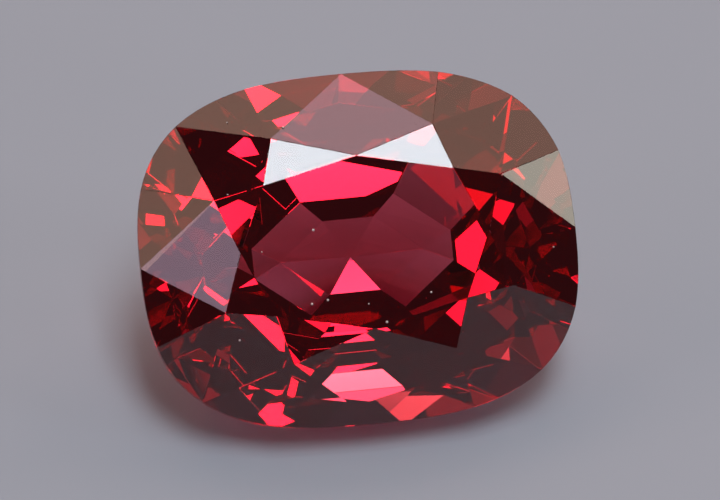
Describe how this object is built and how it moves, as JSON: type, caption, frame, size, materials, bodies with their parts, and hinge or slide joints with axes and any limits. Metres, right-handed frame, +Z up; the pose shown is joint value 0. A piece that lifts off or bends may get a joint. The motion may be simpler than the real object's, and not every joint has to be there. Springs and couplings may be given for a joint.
{
  "type": "cushion-cut red spinel gemstone",
  "caption": "Loose cushion mixed-cut red spinel with a brilliant crown and a stepped pavilion, lying on a pavilion facet with its table leaning forward.",
  "frame": {"origin": "middle of the stone's box, at the level of the pavilion facet that it lies on", "axes": "+X along the stone's length, +Z up, and -Y towards the side that the table leans to"},
  "size_m": [0.011, 0.007, 0.0069],
  "materials": {
    "red_spinel": "polished, clear deep crimson, refractive index 1.718"
  },
  "bodies": {
    "root": {"spinel": "red_spinel"}
  },
  "joints": []
}
